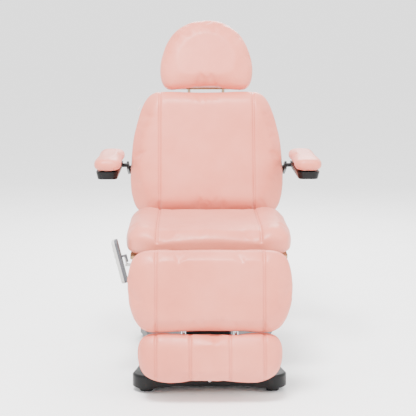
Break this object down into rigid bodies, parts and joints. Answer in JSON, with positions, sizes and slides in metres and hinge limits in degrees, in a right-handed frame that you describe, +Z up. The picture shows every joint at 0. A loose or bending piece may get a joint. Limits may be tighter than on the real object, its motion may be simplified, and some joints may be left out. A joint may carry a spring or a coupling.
{
  "type": "facial treatment bed",
  "caption": "Powered facial treatment bed with padded back, headrest, seat, leg and foot sections and arms on a lifting column over a wide base.",
  "frame": {"origin": "on the floor under the centre of the bounding box", "axes": "+Z up, -Y the way the sitter faces, +X to the left hand of someone sitting in it"},
  "size_m": [0.844, 1.1311, 1.2744],
  "materials": {
    "black_abs": "satin moulded plastic",
    "black_steel": "powder coated",
    "rubber": "matt",
    "light_grey_abs": "fine textured",
    "dark_grey_abs": "fine textured",
    "zinc_steel": "zinc plated",
    "chrome": "polished",
    "plywood": "raw",
    "pink_pu_leather": "fine grain",
    "tag_fabric": "plain weave"
  },
  "bodies": {
    "base": {"base_cover": "black_abs", "base_frame": "black_steel", "levelling_feet": "rubber", "base_front_cap": "light_grey_abs", "mains_inlet": "black_abs", "column_outer": "black_steel", "column_bolts": "zinc_steel"},
    "column_mid": {"column_middle": "zinc_steel"},
    "seat": {"column_inner": "zinc_steel", "seat_frame": "black_steel", "seat_board": "plywood", "seat_cushion": "pink_pu_leather", "control_box": "black_abs", "back_hinge_pins": "zinc_steel", "leg_hinge_pins": "zinc_steel", "actuator_pins": "zinc_steel", "hand_control_bracket": "light_grey_abs"},
    "back": {"back_frame": "black_steel", "back_board": "plywood", "back_cushion": "pink_pu_leather", "back_side_tag": "tag_fabric", "headrest_guides": "black_abs", "arm_brackets": "black_steel"},
    "head_slide": {"headrest_rails": "chrome", "headrest_hinge_pin": "zinc_steel"},
    "headrest": {"headrest_bracket": "black_steel", "headrest_board": "plywood", "headrest_cushion": "pink_pu_leather"},
    "arm_left": {"arm_tray_left": "black_abs", "arm_cushion_left": "pink_pu_leather"},
    "arm_right": {"arm_tray_right": "black_abs", "arm_cushion_right": "pink_pu_leather"},
    "leg": {"leg_frame": "black_steel", "leg_board": "plywood", "leg_cushion": "pink_pu_leather"},
    "foot": {"foot_rails": "chrome", "foot_board": "plywood", "foot_cushion": "pink_pu_leather"},
    "back_motor": {"back_actuator": "black_abs"},
    "back_rod": {"back_actuator_rod": "chrome"},
    "leg_motor": {"leg_actuator": "black_abs"},
    "leg_rod": {"leg_actuator_rod": "chrome"},
    "hand_control": {"hand_control_front": "light_grey_abs", "hand_control_rear": "dark_grey_abs"},
    "button_back_up_cap": {"button_back_up": "dark_grey_abs"},
    "button_back_down_cap": {"button_back_down": "dark_grey_abs"},
    "button_leg_up_cap": {"button_leg_up": "dark_grey_abs"},
    "button_leg_down_cap": {"button_leg_down": "dark_grey_abs"},
    "button_bed_up_cap": {"button_bed_up": "dark_grey_abs"},
    "button_bed_down_cap": {"button_bed_down": "dark_grey_abs"}
  },
  "joints": [
    {"name": "lift", "type": "slide", "parent": "base", "child": "seat", "axis": [0, 0, 1], "range_m": [0, 0.24]},
    {"name": "column_follow", "type": "slide", "parent": "base", "child": "column_mid", "axis": [0, 0, 1], "range_m": [0, 0.12]},
    {"name": "recline", "type": "hinge", "parent": "seat", "child": "back", "pos_m": [0, 0.259, 0.495], "axis": [-1, 0, 0], "range_deg": [0, 72]},
    {"name": "leg_raise", "type": "hinge", "parent": "seat", "child": "leg", "pos_m": [0, -0.378, 0.428], "axis": [-1, 0, 0], "range_deg": [0, 78]},
    {"name": "head_height", "type": "slide", "parent": "back", "child": "head_slide", "axis": [0, 0.309, 0.9511], "range_m": [0, 0.09]},
    {"name": "head_tilt", "type": "hinge", "parent": "head_slide", "child": "headrest", "pos_m": [0, 0.51653, 1.08373], "axis": [1, 0, 0], "range_deg": [-30, 3]},
    {"name": "arm_left_swing", "type": "hinge", "parent": "back", "child": "arm_left", "pos_m": [-0.342, 0.313, 0.708], "axis": [1, 0, 0], "range_deg": [-75, 70]},
    {"name": "arm_right_swing", "type": "hinge", "parent": "back", "child": "arm_right", "pos_m": [0.342, 0.313, 0.708], "axis": [1, 0, 0], "range_deg": [-75, 70]},
    {"name": "foot_extend", "type": "slide", "parent": "leg", "child": "foot", "axis": [0, -0.2079, -0.9781], "range_m": [0, 0.12]},
    {"name": "back_motor_swing", "type": "hinge", "parent": "seat", "child": "back_motor", "pos_m": [0.125, -0.163, 0.385], "axis": [1, 0, 0], "range_deg": [0, 0.5749]},
    {"name": "back_rod_slide", "type": "slide", "parent": "back_motor", "child": "back_rod", "axis": [0, 1, 0.0074], "range_m": [-0.15277, 0]},
    {"name": "leg_motor_swing", "type": "hinge", "parent": "seat", "child": "leg_motor", "pos_m": [-0.125, 0.157, 0.373], "axis": [1, 0, 0], "range_deg": [-1.37, 0]},
    {"name": "leg_rod_slide", "type": "slide", "parent": "leg_motor", "child": "leg_rod", "axis": [0, -0.9992, -0.039], "range_m": [0, 0.11141]},
    {"name": "hand_control_lift_off", "type": "slide", "parent": "seat", "child": "hand_control", "axis": [-0.2419, 0, 0.9703], "range_m": [0, 0.06]},
    {"name": "button_back_up_press", "type": "slide", "parent": "hand_control", "child": "button_back_up_cap", "axis": [0.9703, 0, 0.2419], "range_m": [0, 0.0012], "stiffness_N_per_m": 600},
    {"name": "button_back_down_press", "type": "slide", "parent": "hand_control", "child": "button_back_down_cap", "axis": [0.9703, 0, 0.2419], "range_m": [0, 0.0012], "stiffness_N_per_m": 600},
    {"name": "button_leg_up_press", "type": "slide", "parent": "hand_control", "child": "button_leg_up_cap", "axis": [0.9703, 0, 0.2419], "range_m": [0, 0.0012], "stiffness_N_per_m": 600},
    {"name": "button_leg_down_press", "type": "slide", "parent": "hand_control", "child": "button_leg_down_cap", "axis": [0.9703, 0, 0.2419], "range_m": [0, 0.0012], "stiffness_N_per_m": 600},
    {"name": "button_bed_up_press", "type": "slide", "parent": "hand_control", "child": "button_bed_up_cap", "axis": [0.9703, 0, 0.2419], "range_m": [0, 0.0012], "stiffness_N_per_m": 600},
    {"name": "button_bed_down_press", "type": "slide", "parent": "hand_control", "child": "button_bed_down_cap", "axis": [0.9703, 0, 0.2419], "range_m": [0, 0.0012], "stiffness_N_per_m": 600}
  ],
  "couplings": [
    {"joint": "column_follow", "follows": "lift", "ratio": 0.5},
    {"joint": "back_motor_swing", "follows": "recline", "ratio": 0.007984},
    {"joint": "back_rod_slide", "follows": "recline", "m_per_rad": -0.12157},
    {"joint": "leg_motor_swing", "follows": "leg_raise", "ratio": -0.017599},
    {"joint": "leg_rod_slide", "follows": "leg_raise", "m_per_rad": 0.081837}
  ]
}
